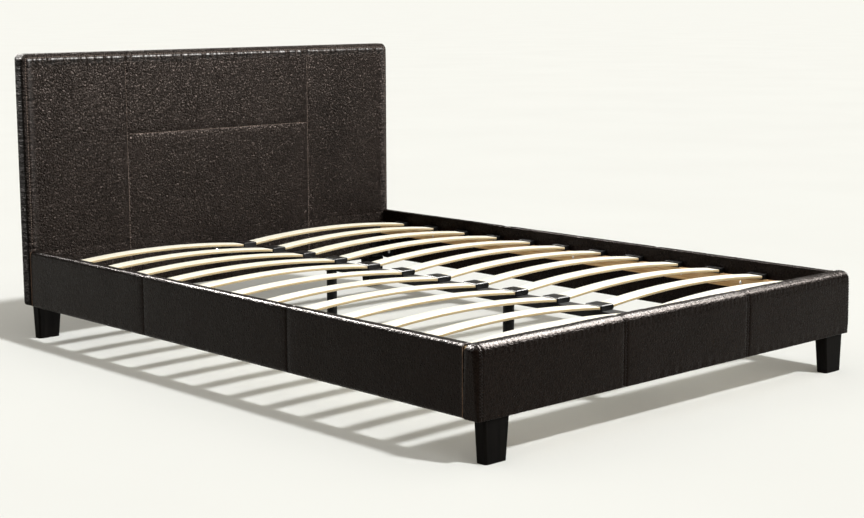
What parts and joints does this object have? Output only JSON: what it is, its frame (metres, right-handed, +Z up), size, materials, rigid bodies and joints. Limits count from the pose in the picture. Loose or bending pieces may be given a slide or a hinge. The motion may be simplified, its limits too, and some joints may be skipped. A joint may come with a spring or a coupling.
{
  "type": "upholstered panel bed",
  "caption": "Low bed with padded headboard, footboard and side rails, sprung slats on a centre rail, and tapered legs.",
  "frame": {"origin": "on the floor under the middle of the bed's outline", "axes": "+Z up, +Y towards the headboard, +X to the right seen from the foot of the bed"},
  "size_m": [1.56, 2.13, 0.932],
  "materials": {
    "faux_leather": "satin dark brown, fine grain",
    "board": "raw board",
    "back_lining": "black felt lining",
    "ledge_plywood": "raw plywood",
    "slat_birch": "pale lacquered birch",
    "dark_wood": "dark stained, satin",
    "black_plastic": "moulded, slightly glossy",
    "black_steel": "satin black paint"
  },
  "bodies": {
    "root": {"centre_cap_1": "black_plastic", "centre_cap_10": "black_plastic", "centre_cap_11": "black_plastic", "centre_cap_12": "black_plastic", "centre_cap_2": "black_plastic", "centre_cap_3": "black_plastic", "centre_cap_4": "black_plastic", "centre_cap_5": "black_plastic", "centre_cap_6": "black_plastic", "centre_cap_7": "black_plastic", "centre_cap_8": "black_plastic", "centre_cap_9": "black_plastic", "centre_leg_foot": "black_steel", "centre_leg_head": "black_steel", "centre_rail": "black_steel", "corner_bracket_foot_left": "black_steel", "corner_bracket_foot_right": "black_steel", "corner_bracket_head_left": "black_steel", "corner_bracket_head_right": "black_steel", "corner_leg_foot_left": "dark_wood", "corner_leg_foot_right": "dark_wood", "corner_leg_head_left": "dark_wood", "corner_leg_head_right": "dark_wood", "footboard_board": "board", "footboard_cover": "faux_leather", "headboard_board": "board", "headboard_cover": "faux_leather", "headboard_lining": "back_lining", "side_rail_board_left": "board", "side_rail_board_right": "board", "side_rail_cover_left": "faux_leather", "side_rail_cover_right": "faux_leather", "slat_holder_strip_left": "black_plastic", "slat_holder_strip_right": "black_plastic", "slat_ledge_left": "ledge_plywood", "slat_ledge_right": "ledge_plywood", "slat_left_1": "slat_birch", "slat_left_10": "slat_birch", "slat_left_11": "slat_birch", "slat_left_12": "slat_birch", "slat_left_2": "slat_birch", "slat_left_3": "slat_birch", "slat_left_4": "slat_birch", "slat_left_5": "slat_birch", "slat_left_6": "slat_birch", "slat_left_7": "slat_birch", "slat_left_8": "slat_birch", "slat_left_9": "slat_birch", "slat_right_1": "slat_birch", "slat_right_10": "slat_birch", "slat_right_11": "slat_birch", "slat_right_12": "slat_birch", "slat_right_2": "slat_birch", "slat_right_3": "slat_birch", "slat_right_4": "slat_birch", "slat_right_5": "slat_birch", "slat_right_6": "slat_birch", "slat_right_7": "slat_birch", "slat_right_8": "slat_birch", "slat_right_9": "slat_birch"}
  },
  "joints": []
}
